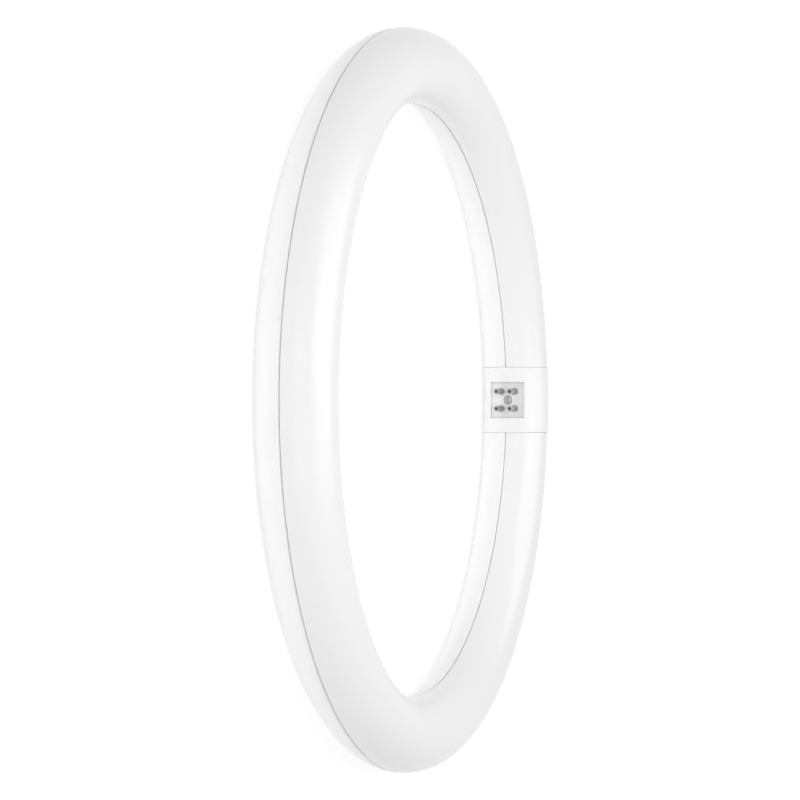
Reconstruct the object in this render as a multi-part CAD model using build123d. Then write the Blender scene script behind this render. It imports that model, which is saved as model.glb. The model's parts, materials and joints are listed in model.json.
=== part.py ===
from build123d import *
import math
import os

# Circular LED tube: a ring of plastic tube in two halves, closed at one place by a four-pin cap.
# Millimetres. The origin is the ring's centre in the parting plane. +Z is the ring's axis, out of
# the side that gives the light, and +X runs from the ring's centre through the cap.

# Ring and casing
ring_radius = 135.0
tube_radius = 15.0
casing_wall = 1.5
parting_gap = 0.25
lap_depth = 2.0
lap_rise = 0.6
rim_bevel = 0.35
fit_gap = 0.1

# LED boards, on shelves inside the rear half
board_count = 3
board_thickness = 1.0
board_play = 0.2
board_side_gap = 0.3
board_end_gap = 0.5
board_joint_gap = 1.0
hold_width = 0.8
shelf_bearing = 1.5
shelf_thickness = 1.2

# LED packages
leds_per_board = 32
led_length = 3.5
led_width = 2.8
led_height = 0.7

# Links from board to board
link_length = 6.0
link_width = 1.5
link_thickness = 0.3
link_inset = 4.8

# Cap over the two ends of the tube
cap_length = 30.0
cap_proud = 0.3
cap_wall = 1.7
cap_lap = 1.6
cap_split_gap = 0.1
cap_end_round = 0.2
neck_end_gap = 0.4
cap_sweep_margin = 1.0

# Pin plate in the cap
plate_width = 16.0
plate_length = 16.4
plate_thickness = 3.0
plate_recess = 2.8
plate_corner = 0.5
plate_gap = 0.05
pocket_wall = 1.4
ledge_width = 1.2
ledge_thickness = 1.5

# Contact pins, on the standard four-pin spacing
pin_pitch_y = 7.92
pin_pitch_z = 6.35
pin_radius = 1.175
pin_reach = 8.0
pin_tip_round = 0.3
tip_hollow_radius = 0.75
tip_hollow_depth = 0.8
solder_thickness = 0.3
solder_gap = 0.03
flange_radius = 1.6
flange_height = 1.0
shank_radius = 1.0
stake_radius = 1.4
stake_height = 0.6
tail_radius = 0.8
tail_length = 3.4

# Cap screw and the boss that it runs into
screw_head_radius = 1.9
screw_head_height = 1.4
screw_head_round = 0.6
screw_seat_depth = 1.2
screw_seat_gap = 0.1
screw_radius = 1.25
screw_length = 14.0
screw_point = 1.5
screw_tip_radius = 0.3
cross_length = 2.3
cross_width = 0.5
cross_depth = 0.8
boss_radius = 3.1
boss_gap = 0.4
boss_depth = 18.0

# Driver board, on rails in the bottom of the rear half
driver_offset = 32.0
driver_length = 92.0
driver_thickness = 1.0
driver_side_gap = 1.5
component_room = 5.8
rail_inset = 2.0
rail_width = 1.2

# Lead wires from the pins to the driver board
lead_radius = 0.65
lead_rest = 0.05
lead_straight = 3.0
lead_landing = 4.0
lead_run_in = 3.0
lead_pitch = 3.0
lead_bend_share = 0.45
lead_lanes = [0.5, -1.5, 1.5, -0.5]

# Routes of the lead wires between the pin tails and the driver board, one list for each pin.
# Each point is given as its way out from the tube's centre-line, along it from the cap, and up.
lead_routes = [
    [(2.2, 7.9, 1.4), (3.7, 13.7, -2.6), (4.2, 20.4, -7.4)],
    [(-1.4, 8.1, -5.6), (-2.3, 14.3, -7.8), (-2.9, 21.5, -8.8)],
    [(2.6, -2.4, 4.8), (6.2, 3.4, 4.6), (7.4, 10.5, 0.4), (7.2, 19.0, -7.0)],
    [(0.4, -2.4, -5.0), (2.3, 3.9, -6.8), (1.3, 11.4, -8.3), (0.6, 19.9, -8.9)],
]

# Driver components: sizes
terminal_thickness = 0.3
terminal_reach = 1.0
terminal_share = 1 / 3
fuse_radius = 1.5
fuse_length = 8.0
fuse_lead = 2.0
varistor_radius = 3.5
varistor_height = 3.6
film_length = 10.0
film_width = 4.6
film_height = 5.2
film_edge = 0.4
choke_radius = 3.0
choke_height = 5.0
choke_flange = 0.8
choke_groove = 0.6
bridge_length = 4.7
bridge_width = 3.9
bridge_height = 1.5
bulk_radius = 4.0
bulk_length = 14.0
bulk_gap = 2.0
bulk_lead = 2.0
bulk_rim = 0.5
chip_length = 4.9
chip_width = 3.9
chip_height = 1.5
core_length = 13.0
core_width = 9.4
core_height = 5.0
core_limb = 2.6
winding_inset = 0.4
diode_length = 4.3
diode_width = 3.6
diode_height = 2.2
filter_radius = 2.5
filter_length = 10.0
header_pitch = 2.54
header_pin = 0.64
header_block = 2.5
header_tail = 0.6
header_hole_gap = 0.3

# Driver components: places along the board from its near end, and across it from its middle
fuse_place = (12.0, -3.0)
varistor_place = (13.0, 3.0)
film_place = (24.0, -2.4)
choke_place = (23.5, 3.6)
bridge_place = (35.0, -3.4)
chip_place = (34.5, 3.4)
core_place = (50.0, 0.0)
diode_place = (63.0, -2.6)
filter_place = (72.0, 3.0)
header_place = (73.0, -3.2)

# Sizes that follow from those above
bore_radius = tube_radius - casing_wall
lap_radius = bore_radius + (casing_wall - fit_gap) / 2
board_top = -(lap_depth + board_play)
board_bottom = board_top - board_thickness
board_half = math.sqrt(bore_radius**2 - board_bottom**2) - board_side_gap
cap_radius = tube_radius + cap_proud
cap_bore = cap_radius - cap_wall
cap_lap_radius = cap_bore + (cap_wall - fit_gap) / 2
cap_half = cap_length / 2
neck_radius = cap_bore - fit_gap
neck_bore = neck_radius - casing_wall
shoulder_start = cap_half + fit_gap
shoulder_end = shoulder_start + casing_wall
shoulder_radius = (lap_radius + fit_gap + tube_radius - rim_bevel) / 2
cap_angle = math.degrees(math.asin(shoulder_end / (ring_radius - cap_radius))) + cap_sweep_margin
plate_face = ring_radius - cap_radius + plate_recess
plate_back = plate_face + plate_thickness
pocket_half_y = plate_length / 2 + plate_gap
pocket_half_z = plate_width / 2 + plate_gap
frame_half_y = pocket_half_y + pocket_wall
frame_half_z = pocket_half_z + pocket_wall
neck_end = frame_half_y + neck_end_gap
driver_top = board_bottom - component_room
driver_bottom = driver_top - driver_thickness
driver_half = math.sqrt(bore_radius**2 - driver_bottom**2) - driver_side_gap


def arc_degrees(length):
    """The turn about the ring's axis that goes this far along the tube's centre-line."""
    return math.degrees(length / ring_radius)


board_start = math.degrees(math.asin((shoulder_end + board_end_gap) / (ring_radius - board_half)))
board_joint = arc_degrees(board_joint_gap)
board_span = (360 - 2 * board_start - (board_count - 1) * board_joint) / board_count
driver_start = arc_degrees(driver_offset)
driver_end = arc_degrees(driver_offset + driver_length)


def strip(left, right, low, high):
    """A rectangle of a section, from its edges."""
    return Pos((left + right) / 2, (low + high) / 2) * Rectangle(right - left, high - low)


def both_sides(sketch):
    """A piece of a section with its mirror image across the tube's middle."""
    return sketch + mirror(sketch, about=Plane.YZ)


def ring_section(sketch):
    """A section drawn about the tube's middle, stood up on the ring's centre-line."""
    return Plane.XZ * Pos(ring_radius, 0) * sketch


def swept_arc(sketch, start, end):
    """A section carried round the ring from one angle to another."""
    return Rot(0, 0, start) * revolve(ring_section(sketch), Axis.Z, end - start)


def slab(near, far):
    """The space about the cap between two distances from its middle."""
    reach = 4 * tube_radius
    return Pos(ring_radius, (near + far) / 2, 0) * Box(reach, abs(far - near), reach)


def half_tube(outer, inner, side, edge):
    """Half of a tube's section, on the side of the parting plane given by a sign."""
    low, high = sorted((side * edge, side * 2 * outer))
    return (Circle(outer) - Circle(inner)) & strip(-2 * outer, 2 * outer, low, high)


def bevelled_rim(section):
    """A casing half's section with its two outer corners at the parting line bevelled."""
    return chamfer(section.vertices().sort_by(lambda corner: abs(corner.X))[-2:], rim_bevel)


def casing_half(side, edge, section):
    """One half of the casing, with a shoulder and a neck at each end for the cap to close over."""
    shell = revolve(ring_section(bevelled_rim(section)), Axis.Z) - slab(-shoulder_start, shoulder_start)
    shoulder = swept_arc(half_tube(shoulder_radius, neck_bore, side, edge), -cap_angle, cap_angle)
    neck = swept_arc(half_tube(neck_radius, neck_bore, side, edge), -cap_angle, cap_angle)
    for end in (1, -1):
        shell += shoulder & slab(end * shoulder_start, end * shoulder_end)
        shell += neck & slab(end * neck_end, end * shoulder_end)
    return shell


def front_diffuser():
    """The opal half. Its tongue drops inside the rear half's rim and keeps the LED boards down."""
    shell = casing_half(1, 0, half_tube(tube_radius, bore_radius, 1, 0))
    tongue = strip(board_half - hold_width, tube_radius, -lap_depth, lap_rise) & Circle(lap_radius)
    tongue_end = shoulder_end + fit_gap
    return shell + (revolve(ring_section(both_sides(tongue)), Axis.Z) - slab(-tongue_end, tongue_end))


def rear_housing():
    """The white half, with a rebated rim, shelves for the LED boards and rails for the driver board."""
    wall = half_tube(tube_radius, bore_radius, -1, parting_gap)
    rebate = Circle(lap_radius + fit_gap) & strip(-tube_radius, tube_radius, -lap_depth - fit_gap, 0)
    shelf_edge = board_half - shelf_bearing
    shelf = strip(shelf_edge, tube_radius, board_bottom - shelf_thickness, board_bottom)
    section = wall - rebate + both_sides(shelf & Circle(lap_radius))
    rail_edge = driver_half - rail_inset
    rail = strip(rail_edge - rail_width, rail_edge, -tube_radius, driver_bottom) & Circle(lap_radius)
    return casing_half(-1, parting_gap, section) + swept_arc(both_sides(rail), driver_start, driver_end)


def board_angle(index):
    """Where an LED board starts."""
    return board_start + index * (board_span + board_joint)


def header_pin_spots():
    """The two places of the output header's pins, along and across the driver board."""
    along, across = header_place
    return [(along + side * header_pitch / 2, across) for side in (-1, 1)]


def on_driver(place, height=driver_top):
    """A spot over the driver board: local X runs along the tube, local Y towards the ring's centre."""
    along, across = place
    turn = driver_start + arc_degrees(along)
    return Rot(0, 0, turn) * Pos(ring_radius + across, 0, height) * Rot(0, 0, 90)


def led_board(index):
    """One arc of metal-cored board. The first has holes for the output header's pins."""
    flat = strip(-board_half, board_half, board_bottom, board_top)
    board = swept_arc(flat, board_angle(index), board_angle(index) + board_span)
    if index == 0:
        hole = Cylinder(header_pin / 2 + header_hole_gap, 4 * board_thickness)
        for spot in header_pin_spots():
            board -= on_driver(spot, board_bottom) * hole
    return board


def led_chips(index):
    """The LED packages of one board, evenly spaced on the tube's centre-line."""
    pitch = board_span / leds_per_board
    package = Pos(ring_radius, 0, board_top + led_height / 2) * Box(led_width, led_length, led_height)
    turns = [board_angle(index) + (step + 0.5) * pitch for step in range(leds_per_board)]
    return [Rot(0, 0, turn) * package for turn in turns]


def board_link(index):
    """Two flat straps across the joint between one board and the next."""
    turn = board_angle(index + 1) - board_joint / 2
    strap = Box(link_width, link_length, link_thickness)
    height = board_top + link_thickness / 2
    spread = board_half - link_inset
    return [Rot(0, 0, turn) * Pos(ring_radius + side * spread, 0, height) * strap for side in (-1, 1)]


def cap_half_shell(section):
    """A piece of the cap's wall, cut off square at both ends."""
    return swept_arc(section, -cap_angle, cap_angle) & slab(-cap_half, cap_half)


def rounded_ends(shell):
    """A cap half with the outer edge of each end rounded off."""
    ends = [shell.edges().filter_by_position(Axis.Y, end, end) for end in (-cap_half, cap_half)]
    return fillet([edges.sort_by(SortBy.LENGTH)[-1] for edges in ends], cap_end_round)


def across_pocket(near, far, half_y, half_z):
    """A block behind the pin plate's face, between two distances from the ring's axis."""
    return Pos((near + far) / 2, 0, 0) * Box(far - near, 2 * half_y, 2 * half_z)


def cap_inner_half():
    """The half of the cap that faces the ring's centre, with the pocket that carries the pin plate."""
    inner_side = strip(-2 * cap_radius, -cap_split_gap, -cap_radius, cap_radius)
    wall = (Circle(cap_radius) - Circle(cap_bore)) & inner_side
    rebate = Circle(cap_lap_radius + fit_gap) & strip(-cap_lap - fit_gap, 0, -cap_radius, cap_radius)
    shell = rounded_ends(cap_half_shell(wall - rebate))
    inside = cap_half_shell(Circle(cap_lap_radius))
    ledge_back = plate_back + ledge_thickness
    shell += inside & across_pocket(plate_face - cap_radius, ledge_back, frame_half_y, frame_half_z)
    shell -= across_pocket(plate_face - cap_radius, plate_back, pocket_half_y, pocket_half_z)
    window_y = pocket_half_y - ledge_width
    window_z = pocket_half_z - ledge_width
    return shell - across_pocket(plate_face, ledge_back + ledge_thickness, window_y, window_z)


def cap_outer_half():
    """The outer half of the cap, with the lip that laps the inner half and the boss for the screw."""
    outer_side = strip(0, 2 * cap_radius, -cap_radius, cap_radius)
    wall = (Circle(cap_radius) - Circle(cap_bore)) & outer_side
    lip = (Circle(cap_lap_radius) - Circle(cap_bore)) & strip(-cap_lap, cap_wall, -cap_radius, cap_radius)
    boss_end = plate_back + boss_gap
    boss_root = ring_radius + cap_lap_radius
    boss_mouth = facing_centre(0, 0) * Pos(0, 0, plate_face - boss_end)
    boss = boss_mouth * drop(boss_radius, 0, boss_root - boss_end)
    pilot = boss_mouth * drop(screw_radius + fit_gap / 2, 0, boss_depth)
    return rounded_ends(cap_half_shell(wall + lip)) + boss - pilot


def facing_centre(y, z):
    """A spot on the pin plate's face, with local Z towards the ring's centre."""
    return Plane(origin=(plate_face, y, z), x_dir=(0, 1, 0), z_dir=(-1, 0, 0))


def pin_spots():
    """The four corners of the standard pin pattern."""
    return [(y * pin_pitch_y / 2, z * pin_pitch_z / 2) for y in (1, -1) for z in (1, -1)]


def drop(radius, top, depth):
    """A round bar that goes down from a height."""
    return Pos(0, 0, top) * Cylinder(radius, depth, align=(Align.CENTER, Align.CENTER, Align.MAX))


def pin_plate():
    """The square insulating plate that carries the pins and takes the screw's head."""
    plate = Pos((plate_face + plate_back) / 2, 0, 0) * Box(plate_thickness, plate_length, plate_width)
    plate = fillet(plate.edges().filter_by(Axis.X), plate_corner)
    for spot in pin_spots():
        plate -= facing_centre(*spot) * drop(shank_radius + fit_gap / 2, fit_gap, 2 * plate_thickness)
    screw_hole = drop(screw_radius + screw_seat_gap, fit_gap, 2 * plate_thickness)
    screw_seat = drop(screw_head_radius + screw_seat_gap, fit_gap, screw_seat_depth + fit_gap)
    return plate - facing_centre(0, 0) * screw_hole - facing_centre(0, 0) * screw_seat


def contact_pin(spot):
    """A pin: contact with a hollow tip, flange on the plate, shank, staked collar behind, solder tail."""
    contact = drop(pin_radius, pin_reach, pin_reach)
    contact = fillet(contact.edges().sort_by(Axis.Z)[-1], pin_tip_round)
    contact -= drop(tip_hollow_radius, pin_reach, tip_hollow_depth)
    pin = contact + drop(flange_radius, flange_height, flange_height)
    pin += drop(shank_radius, flange_height, flange_height + plate_thickness)
    pin += drop(stake_radius, -plate_thickness, stake_height)
    pin += drop(tail_radius, -plate_thickness, tail_length)
    return facing_centre(*spot) * pin


def pin_solder():
    """The drops of solder in the hollow tips of the pins."""
    top = pin_reach - tip_hollow_depth + solder_thickness
    drop_of_solder = drop(tip_hollow_radius - solder_gap, top, solder_thickness)
    return [facing_centre(*spot) * drop_of_solder for spot in pin_spots()]


def cap_screw():
    """A pan-head screw with a cross recess, which draws the two halves of the cap together."""
    head_top = screw_head_height - screw_seat_depth
    head = drop(screw_head_radius, head_top, screw_head_height)
    head = fillet(head.edges().sort_by(Axis.Z)[-1], screw_head_round)
    screw = head + drop(screw_radius, head_top - screw_head_height, screw_length - screw_point)
    point_top = head_top - screw_head_height - screw_length + screw_point
    screw += Pos(0, 0, point_top) * Cone(
        screw_tip_radius, screw_radius, screw_point, align=(Align.CENTER, Align.CENTER, Align.MAX)
    )
    for turn in (0, 90):
        screw -= Rot(0, 0, turn) * Pos(0, 0, head_top) * Box(cross_length, cross_width, 2 * cross_depth)
    return facing_centre(0, 0) * screw


def bend_radii(points):
    """For each corner of a route, the largest bend that its two runs leave room for."""
    radii = []
    for before, corner, after in zip(points, points[1:], points[2:]):
        arriving = Vector(*corner) - Vector(*before)
        leaving = Vector(*after) - Vector(*corner)
        half_turn = math.radians(arriving.get_angle(leaving)) / 2
        radii.append(lead_bend_share * min(arriving.length, leaving.length) / math.tan(half_turn))
    return radii


def in_tube(outward, along, up):
    """A point by its way out from the tube's centre-line, along it from the cap's middle, and up."""
    turn = math.radians(arc_degrees(along))
    reach = ring_radius + outward
    return (reach * math.cos(turn), reach * math.sin(turn), up)


def lead_wire(spot, middle_points, lane):
    """An insulated wire from a pin's tail, past the screw boss, down to its pad on the driver board."""
    tail_end = plate_back + tail_length
    start = [(tail_end, *spot), (tail_end + lead_straight, *spot)]
    rest = driver_top + lead_radius + lead_rest
    landing = [(lane * lead_pitch, driver_offset + along, rest) for along in (-lead_run_in, lead_landing)]
    points = start + [in_tube(*point) for point in [*middle_points, *landing]]
    path = FilletPolyline(*points, radius=bend_radii(points))
    return sweep(Plane(origin=path @ 0, z_dir=path % 0) * Circle(lead_radius), path)


def driver_board():
    """The driver's circuit board, curved with the tube."""
    flat = strip(-driver_half, driver_half, driver_bottom, driver_top)
    return swept_arc(flat, driver_start, driver_end)


def standing_block(length, width, height):
    """A block that stands on the driver board."""
    return Box(length, width, height, align=(Align.CENTER, Align.CENTER, Align.MIN))


def lying_drum(radius, length):
    """A round body that lies on the driver board along the tube."""
    return Pos(0, 0, radius) * Rot(0, 90, 0) * Cylinder(radius, length)


def moulded_package(length, width, height, count):
    """A moulded component with a row of flat terminals along each of its long sides."""
    body = standing_block(length, width, height)
    pitch = length / count
    for step in range(count):
        along = (step - (count - 1) / 2) * pitch
        terminal = standing_block(terminal_share * pitch, width + 2 * terminal_reach, terminal_thickness)
        body += Pos(along, 0, 0) * terminal
    return body


def fuse_resistor():
    """A round fusible resistor on two bent leads."""
    body = lying_drum(fuse_radius, fuse_length)
    span = fuse_length + 2 * fuse_lead
    body += Pos(0, 0, fuse_radius) * Box(span, terminal_thickness, terminal_thickness)
    for side in (-1, 1):
        leg = standing_block(terminal_thickness, terminal_thickness, fuse_radius)
        body += Pos(side * (span - terminal_thickness) / 2, 0, 0) * leg
    return on_driver(fuse_place) * body


def varistor():
    """A disc varistor, laid flat to fit the tube."""
    return on_driver(varistor_place) * drop(varistor_radius, varistor_height, varistor_height)


def film_capacitor():
    """A boxed film capacitor with bevelled upper edges."""
    box = standing_block(film_length, film_width, film_height)
    return on_driver(film_place) * chamfer(box.faces().sort_by(Axis.Z)[-1].edges(), film_edge)


def emi_choke():
    """A drum-core choke: two flanges and the winding between them."""
    core = drop(choke_radius - choke_groove, choke_height, choke_height)
    core += drop(choke_radius, choke_flange, choke_flange)
    return on_driver(choke_place) * (core + drop(choke_radius, choke_height, choke_flange))


def bridge_rectifier():
    """A four-terminal bridge rectifier."""
    return on_driver(bridge_place) * moulded_package(bridge_length, bridge_width, bridge_height, 2)


def driver_chip():
    """The eight-terminal driver circuit."""
    return on_driver(chip_place) * moulded_package(chip_length, chip_width, chip_height, 4)


def power_inductor():
    """A flat ferrite core with its winding between the two outer limbs."""
    core = standing_block(core_length, core_width, core_height)
    opening = core_length - 2 * core_limb
    core -= standing_block(opening, 2 * core_width, core_height - core_limb / 2)
    winding = standing_block(opening, core_width - 2 * winding_inset, core_height - core_limb / 2)
    return on_driver(core_place) * (core + winding)


def output_diode():
    """The freewheel diode, with a terminal at each end."""
    body = standing_block(diode_length, diode_width, diode_height)
    body += standing_block(diode_length + 2 * terminal_reach, diode_width / 2, terminal_thickness)
    return on_driver(diode_place) * body


def filter_capacitor():
    """The output's small electrolytic capacitor, lying on the board."""
    return on_driver(filter_place) * lying_drum(filter_radius, filter_length)


def bulk_capacitor():
    """The main electrolytic capacitor, lying in the tube past the end of the board."""
    floor = -bore_radius + fit_gap
    can = lying_drum(bulk_radius, bulk_length)
    can = fillet(can.edges().filter_by(GeomType.CIRCLE), bulk_rim)
    lead_height = driver_top - floor + terminal_thickness / 2
    for side in (-1, 1):
        lead = Box(bulk_gap + 2 * bulk_lead, terminal_thickness, terminal_thickness)
        can += Pos(-bulk_length / 2 - bulk_gap / 2, side * bulk_radius / 2, lead_height) * lead
    place = (driver_length + bulk_gap + bulk_length / 2, 0)
    return on_driver(place, floor) * can


def output_header():
    """The insulating block of the header that joins the driver board to the first LED board."""
    block = standing_block(2 * header_pitch, header_pitch, header_block)
    for side in (-1, 1):
        hole = standing_block(header_pin, header_pin, header_block)
        block -= Pos(side * header_pitch / 2, 0, 0) * hole
    return on_driver(header_place) * block


def header_pins():
    """The two square pins of that header, which stand on the driver board and pass the LED board."""
    height = board_top + header_tail - driver_top
    pin = standing_block(header_pin, header_pin, height)
    return [on_driver(header_place) * Pos(side * header_pitch / 2, 0, 0) * pin for side in (-1, 1)]


def write(name, shape):
    """One file for each piece, or for each group of like pieces."""
    pieces = shape if isinstance(shape, list) else [shape]
    solids = [solid for piece in pieces for solid in piece.solids()]
    export_step(Compound(children=solids), f"parts/{name}.step")


os.makedirs("parts", exist_ok=True)

write("front_diffuser", front_diffuser())
write("rear_housing", rear_housing())
for number in range(board_count):
    write(f"led_board_{number + 1}", led_board(number))
    write(f"led_chips_{number + 1}", led_chips(number))
for number in range(board_count - 1):
    write(f"board_link_{number + 1}", board_link(number))
write("driver_board", driver_board())
write("fuse_resistor", fuse_resistor())
write("varistor", varistor())
write("film_capacitor", film_capacitor())
write("emi_choke", emi_choke())
write("bridge_rectifier", bridge_rectifier())
write("driver_chip", driver_chip())
write("power_inductor", power_inductor())
write("output_diode", output_diode())
write("filter_capacitor", filter_capacitor())
write("bulk_capacitor", bulk_capacitor())
write("output_header", output_header())
write("header_pins", header_pins())
write("cap_inner_half", cap_inner_half())
write("cap_outer_half", cap_outer_half())
write("pin_plate", pin_plate())
for number, spot in enumerate(pin_spots()):
    write(f"contact_pin_{number + 1}", contact_pin(spot))
    write(f"lead_wire_{number + 1}", lead_wire(spot, lead_routes[number], lead_lanes[number]))
write("pin_solder", pin_solder())
write("cap_screw", cap_screw())
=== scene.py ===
import json
from math import cos, radians, sin

import bpy
from mathutils import Matrix, Vector


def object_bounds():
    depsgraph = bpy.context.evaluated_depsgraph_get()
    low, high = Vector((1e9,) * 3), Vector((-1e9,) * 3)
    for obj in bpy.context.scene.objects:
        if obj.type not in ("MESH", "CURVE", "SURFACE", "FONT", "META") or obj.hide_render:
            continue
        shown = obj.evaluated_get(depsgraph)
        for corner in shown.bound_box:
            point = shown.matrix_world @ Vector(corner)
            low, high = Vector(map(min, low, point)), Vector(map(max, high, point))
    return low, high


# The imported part
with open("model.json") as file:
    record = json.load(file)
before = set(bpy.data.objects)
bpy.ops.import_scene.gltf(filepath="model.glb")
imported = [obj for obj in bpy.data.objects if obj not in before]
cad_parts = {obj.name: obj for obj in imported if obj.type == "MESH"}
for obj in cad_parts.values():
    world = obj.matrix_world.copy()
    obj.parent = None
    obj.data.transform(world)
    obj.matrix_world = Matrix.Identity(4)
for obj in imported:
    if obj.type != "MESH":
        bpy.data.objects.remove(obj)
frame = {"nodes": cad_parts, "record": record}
cad_low, cad_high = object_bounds()
scene = bpy.context.scene
scene.view_settings.view_transform = "Standard"

# Camera, as fitted to the photograph: place, angle below the level, lens and sensor in millimetres
CAMERA_PLACE = (-0.8296, 0.0, 0.2851)
CAMERA_DIP = radians(19.54)
CAMERA_LENS = 96.85
CAMERA_SENSOR = 36.0

# Floor: size, paint for light and for sight, glow by the ring and far off with its range, light for the part
FLOOR_SIZE = 16.0
FLOOR_COLOUR = (0.9, 0.9, 0.9, 1.0)
FLOOR_COLOUR_SEEN = (0.216, 0.216, 0.216, 1.0)
FLOOR_GLOW = 0.84
FLOOR_GLOW_FAR = 1.0
FLOOR_GLOW_RISE = (0.22, 0.60)
FLOOR_LIGHT = 0.30

# World: its colour, its light, and how bright it is where it is seen
WORLD_COLOUR = (1.0, 1.0, 1.0, 1.0)
WORLD_LIGHT = 0.10
WORLD_SEEN = 1.0

# Soft lamps, all turned to the ring's centre: place, width, height, power, and whether surfaces mirror them
LAMPS = {
    "overhead_key": ((0.15, 0.42, 1.30), 1.7, 0.95, 6.9, True),
    "overhead_fill": ((-0.15, 0.0, 0.75), 0.5, 0.5, 2.9, False),
    "camera_side": ((-1.50, 0.0, 0.75), 1.6, 0.6, 10.6, False),
    "far_side": ((1.00, 0.0, 1.10), 1.4, 0.8, 1.2, False),
    "far_low": ((1.60, 0.0, 0.15), 1.8, 0.25, 4.5, False),
    "lower_side": ((0.0, -1.60, 0.50), 1.4, 0.8, 3.1, False),
}

# Plastics: colour, colour variation, roughness, roughness variation, grain depth in metres, grain per metre
PLASTICS = {
    "opal_diffuser": ((0.81, 0.81, 0.81), 0.010, 0.25, 0.015, 0.000004, 700.0),
    "white_housing": ((0.84, 0.84, 0.84), 0.010, 0.38, 0.03, 0.000006, 700.0),
    "white_cap": ((0.825, 0.825, 0.825), 0.010, 0.40, 0.03, 0.000006, 700.0),
    "grey_plate": ((0.79, 0.79, 0.79), 0.03, 0.52, 0.06, 0.00003, 2400.0),
    "white_board": ((0.86, 0.86, 0.84), 0.02, 0.42, 0.06, 0.00002, 900.0),
    "led_package": ((0.90, 0.78, 0.36), 0.05, 0.45, 0.05, 0.00003, 2600.0),
    "circuit_board": ((0.06, 0.24, 0.12), 0.10, 0.40, 0.08, 0.00002, 900.0),
    "black_epoxy": ((0.035, 0.035, 0.04), 0.20, 0.55, 0.08, 0.00003, 3000.0),
    "capacitor_sleeve": ((0.04, 0.05, 0.09), 0.15, 0.32, 0.06, 0.00002, 700.0),
    "film_box": ((0.62, 0.45, 0.08), 0.06, 0.45, 0.06, 0.00003, 2200.0),
    "ferrite": ((0.07, 0.07, 0.075), 0.20, 0.60, 0.08, 0.00004, 3200.0),
    "resistor_coat": ((0.42, 0.30, 0.18), 0.08, 0.35, 0.05, 0.00002, 1800.0),
    "varistor_coat": ((0.06, 0.14, 0.38), 0.08, 0.30, 0.05, 0.00002, 1800.0),
    "lead_sleeve": ((0.78, 0.78, 0.76), 0.03, 0.42, 0.05, 0.00002, 1600.0),
}
PLASTIC_IOR = 1.58

# Metals: colour, colour variation, roughness, roughness variation, depth of the tool marks, marks per metre
METALS = {
    "pin_metal": ((0.44, 0.44, 0.435), 0.10, 0.40, 0.08, 0.000006, 5200.0),
    "screw_steel": ((0.55, 0.55, 0.555), 0.10, 0.38, 0.08, 0.000008, 4200.0),
    # dull_solder is the solder in the pins' hollow tips: real solder, but coloured dark as painted shade of
    # the tips' hollows
    "dull_solder": ((0.14, 0.14, 0.145), 0.20, 0.55, 0.08, 0.000010, 3000.0),
    "tinned_copper": ((0.66, 0.65, 0.62), 0.06, 0.40, 0.08, 0.000006, 4000.0),
}

# Noise: the part of its range that it fills, its scales and detail, and its share and limit in the colours
NOISE_SPAN = (0.3, 0.7)
BROAD_PER_METRE = 16.0
FLECKS_PER_METRE = 420.0
CLOUD_DETAIL = 3.0
GRAIN_DETAIL = 4.0
MARK_DETAIL = 2.0
MARK_STRETCH = (1.0, 0.08, 0.08)
BROAD_SHARE = 0.6
LIGHTEST = 0.95
OPAQUE = 1.0


def new_tree(name):
    """A material with its own node tree, and the parts of it that every surface uses."""
    material = bpy.data.materials.new(name)
    material.use_nodes = True
    tree = material.node_tree
    place = tree.nodes.new("ShaderNodeTexCoord").outputs["Object"]
    return material, tree, tree.nodes["Principled BSDF"], place


def noise(tree, place, per_metre, detail=CLOUD_DETAIL):
    """Cloudy noise at a real scale."""
    node = tree.nodes.new("ShaderNodeTexNoise")
    node.inputs["Scale"].default_value = per_metre
    node.inputs["Detail"].default_value = detail
    tree.links.new(place, node.inputs["Vector"])
    return node.outputs["Fac"]


def mapped(tree, value, source, target, interpolation="LINEAR"):
    """A value carried from one range over to another."""
    node = tree.nodes.new("ShaderNodeMapRange")
    node.interpolation_type = interpolation
    node.inputs["From Min"].default_value = source[0]
    node.inputs["From Max"].default_value = source[1]
    node.inputs["To Min"].default_value = target[0]
    node.inputs["To Max"].default_value = target[1]
    tree.links.new(value, node.inputs["Value"])
    return node.outputs["Result"]


def around(middle, variation):
    """The range that lies a variation to each side of a middle value."""
    return middle - variation, middle + variation


def varied_colour(tree, place, colour, variation):
    """A colour with broad drifts and fine flecks, which stay within the variation."""
    broad = noise(tree, place, BROAD_PER_METRE)
    flecks = noise(tree, place, FLECKS_PER_METRE)
    both = tree.nodes.new("ShaderNodeMath")
    both.operation = "ADD"
    tree.links.new(mapped(tree, broad, NOISE_SPAN, (0.0, BROAD_SHARE)), both.inputs[0])
    tree.links.new(mapped(tree, flecks, NOISE_SPAN, (0.0, 1.0 - BROAD_SHARE)), both.inputs[1])
    mix = tree.nodes.new("ShaderNodeMix")
    mix.data_type = "RGBA"
    dark = [channel * (1.0 - variation) for channel in colour]
    light = [min(channel * (1.0 + variation), LIGHTEST) for channel in colour]
    mix.inputs["A"].default_value = (*dark, OPAQUE)
    mix.inputs["B"].default_value = (*light, OPAQUE)
    tree.links.new(both.outputs["Value"], mix.inputs["Factor"])
    return mix.outputs["Result"]


def raised(tree, height, depth, shader):
    """Bump of a given depth in metres."""
    bump = tree.nodes.new("ShaderNodeBump")
    bump.inputs["Distance"].default_value = depth
    tree.links.new(height, bump.inputs["Height"])
    tree.links.new(bump.outputs["Normal"], shader.inputs["Normal"])


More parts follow.
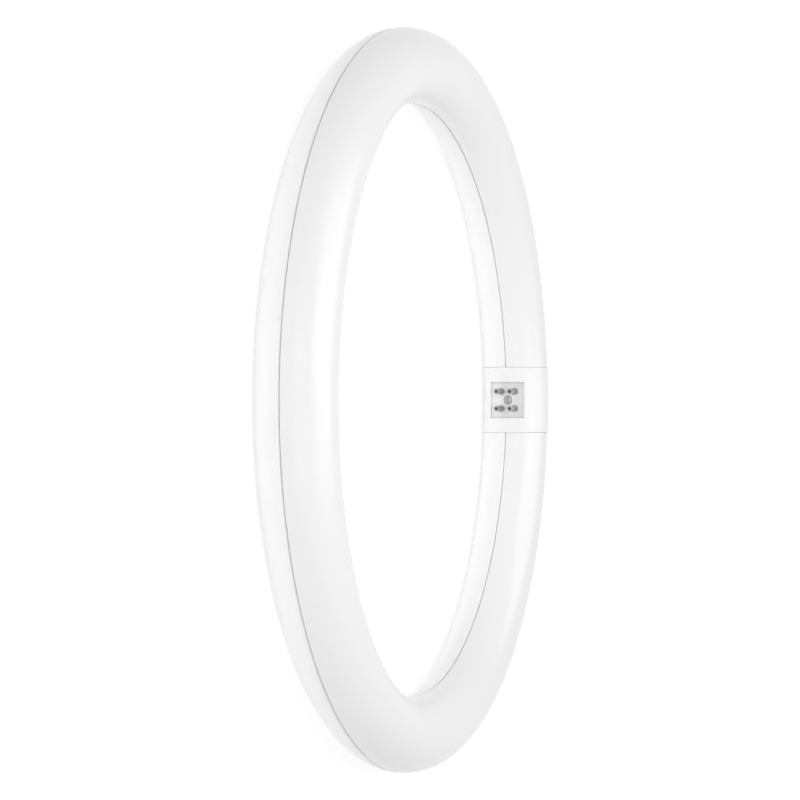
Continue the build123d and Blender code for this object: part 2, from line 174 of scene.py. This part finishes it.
def plastic(name, colour, variation, roughness, roughness_variation, depth, per_metre):
    """Moulded plastic: faint drifts of colour and gloss, and the grain of the mould."""
    material, tree, shader, place = new_tree(name)
    shader.inputs["IOR"].default_value = PLASTIC_IOR
    tree.links.new(varied_colour(tree, place, colour, variation), shader.inputs["Base Color"])
    flecks = noise(tree, place, FLECKS_PER_METRE)
    gloss = mapped(tree, flecks, NOISE_SPAN, around(roughness, roughness_variation))
    tree.links.new(gloss, shader.inputs["Roughness"])
    raised(tree, noise(tree, place, per_metre, GRAIN_DETAIL), depth, shader)
    return material


def metal(name, colour, variation, roughness, roughness_variation, depth, per_metre):
    """Turned metal: fine tool marks round the X axis, with colour and gloss that drift."""
    material, tree, shader, place = new_tree(name)
    shader.inputs["Metallic"].default_value = 1.0
    tree.links.new(varied_colour(tree, place, colour, variation), shader.inputs["Base Color"])
    stretch = tree.nodes.new("ShaderNodeMapping")
    stretch.inputs["Scale"].default_value = MARK_STRETCH
    tree.links.new(place, stretch.inputs["Vector"])
    marks = noise(tree, stretch.outputs["Vector"], per_metre, MARK_DETAIL)
    gloss = mapped(tree, marks, NOISE_SPAN, around(roughness, roughness_variation))
    tree.links.new(gloss, shader.inputs["Roughness"])
    raised(tree, marks, depth, shader)
    return material


def dress_part():
    """Gives every node the material of its slot in the record."""
    materials = {name: plastic(name, *values) for name, values in PLASTICS.items()}
    materials.update({name: metal(name, *values) for name, values in METALS.items()})
    for subpart in frame["record"]["subparts"]:
        mesh = frame["nodes"][subpart["node"]].data
        mesh.materials.clear()
        mesh.materials.append(materials[subpart["material_slot"]])


def seen_directly(tree):
    """One for a ray from the camera, a mirror or a glass, and nothing for any other ray."""
    path = tree.nodes.new("ShaderNodeLightPath")
    total = path.outputs["Is Camera Ray"]
    for other in ("Is Glossy Ray", "Is Transmission Ray"):
        larger = tree.nodes.new("ShaderNodeMath")
        larger.operation = "MAXIMUM"
        tree.links.new(total, larger.inputs[0])
        tree.links.new(path.outputs[other], larger.inputs[1])
        total = larger.outputs["Value"]
    return total


def show_when_seen(tree, output, elsewhere, seen):
    """Gives one shader to the rays that see the surface directly, and the other to the rest."""
    choice = tree.nodes.new("ShaderNodeMixShader")
    tree.links.new(seen_directly(tree), choice.inputs["Fac"])
    tree.links.new(elsewhere, choice.inputs[1])
    tree.links.new(seen, choice.inputs[2])
    tree.links.new(choice.outputs["Shader"], output.inputs["Surface"])


def floor_paint(tree, colour):
    """Matt paint, which takes the part's shadow."""
    paint = tree.nodes.new("ShaderNodeBsdfDiffuse")
    paint.inputs["Color"].default_value = colour
    return paint.outputs["BSDF"]


def floor_glow(tree):
    """The glow that makes the floor white to look at. It rises with the distance from the ring's centre."""
    away = tree.nodes.new("ShaderNodeVectorMath")
    away.operation = "LENGTH"
    tree.links.new(tree.nodes.new("ShaderNodeTexCoord").outputs["Object"], away.inputs[0])
    levels = (FLOOR_GLOW, FLOOR_GLOW_FAR)
    rise = mapped(tree, away.outputs["Value"], FLOOR_GLOW_RISE, levels, "SMOOTHSTEP")
    glow = tree.nodes.new("ShaderNodeEmission")
    tree.links.new(rise, glow.inputs["Strength"])
    return glow.outputs["Emission"]


def floor_light(tree):
    """The weak even glow that lights the part from below, as on a light table."""
    glow = tree.nodes.new("ShaderNodeEmission")
    glow.inputs["Strength"].default_value = FLOOR_LIGHT
    return glow.outputs["Emission"]


def together(tree, first, second):
    """The sum of two shaders."""
    total = tree.nodes.new("ShaderNodeAddShader")
    tree.links.new(first, total.inputs[0])
    tree.links.new(second, total.inputs[1])
    return total.outputs["Shader"]


def white_floor(height):
    """A wide pale floor that reads as white and keeps the part's shadow."""
    bpy.ops.mesh.primitive_plane_add(size=FLOOR_SIZE, location=(0.0, 0.0, height))
    floor = bpy.context.object
    floor.name = "floor"
    material = bpy.data.materials.new("floor")
    material.cycles.emission_sampling = "NONE"
    material.use_nodes = True
    tree = material.node_tree
    tree.nodes.clear()
    output = tree.nodes.new("ShaderNodeOutputMaterial")
    elsewhere = together(tree, floor_paint(tree, FLOOR_COLOUR), floor_light(tree))
    seen = together(tree, floor_paint(tree, FLOOR_COLOUR_SEEN), floor_glow(tree))
    show_when_seen(tree, output, elsewhere, seen)
    floor.data.materials.append(material)


def backdrop(tree, strength):
    """The world's even colour, at a given strength."""
    background = tree.nodes.new("ShaderNodeBackground")
    background.inputs["Color"].default_value = WORLD_COLOUR
    background.inputs["Strength"].default_value = strength
    return background.outputs["Background"]


def white_world():
    """Even light from all round, and white where it is seen."""
    world = bpy.data.worlds.new("studio")
    world.use_nodes = True
    tree = world.node_tree
    tree.nodes.clear()
    output = tree.nodes.new("ShaderNodeOutputWorld")
    show_when_seen(tree, output, backdrop(tree, WORLD_LIGHT), backdrop(tree, WORLD_SEEN))
    scene.world = world


def soft_lamp(name, place, width, height, power, mirrored):
    """A rectangular soft light, turned towards the ring's centre and out of sight itself."""
    lamp = bpy.data.lights.new(name, "AREA")
    lamp.shape = "RECTANGLE"
    lamp.size = width
    lamp.size_y = height
    lamp.energy = power
    holder = bpy.data.objects.new(name, lamp)
    scene.collection.objects.link(holder)
    holder.visible_camera = False
    holder.visible_glossy = mirrored
    holder.location = place
    holder.rotation_euler = Vector(place).to_track_quat("Z", "Y").to_euler()


def photo_camera():
    """The camera at the photograph's place, rolled so that the ring's axis points right in the picture."""
    camera = bpy.data.objects.new("camera", bpy.data.cameras.new("camera"))
    camera.data.lens = CAMERA_LENS
    camera.data.sensor_width = CAMERA_SENSOR
    right = (sin(CAMERA_DIP), 0.0, cos(CAMERA_DIP))
    up = (0.0, 1.0, 0.0)
    back = (-cos(CAMERA_DIP), 0.0, sin(CAMERA_DIP))
    axes = Matrix((right, up, back)).transposed()
    camera.matrix_world = Matrix.Translation(CAMERA_PLACE) @ axes.to_4x4()
    scene.collection.objects.link(camera)
    scene.camera = camera


# The dressed part, its stage, its light and its camera
dress_part()
white_floor(cad_low.z)
white_world()
for name, values in LAMPS.items():
    soft_lamp(name, *values)
photo_camera()
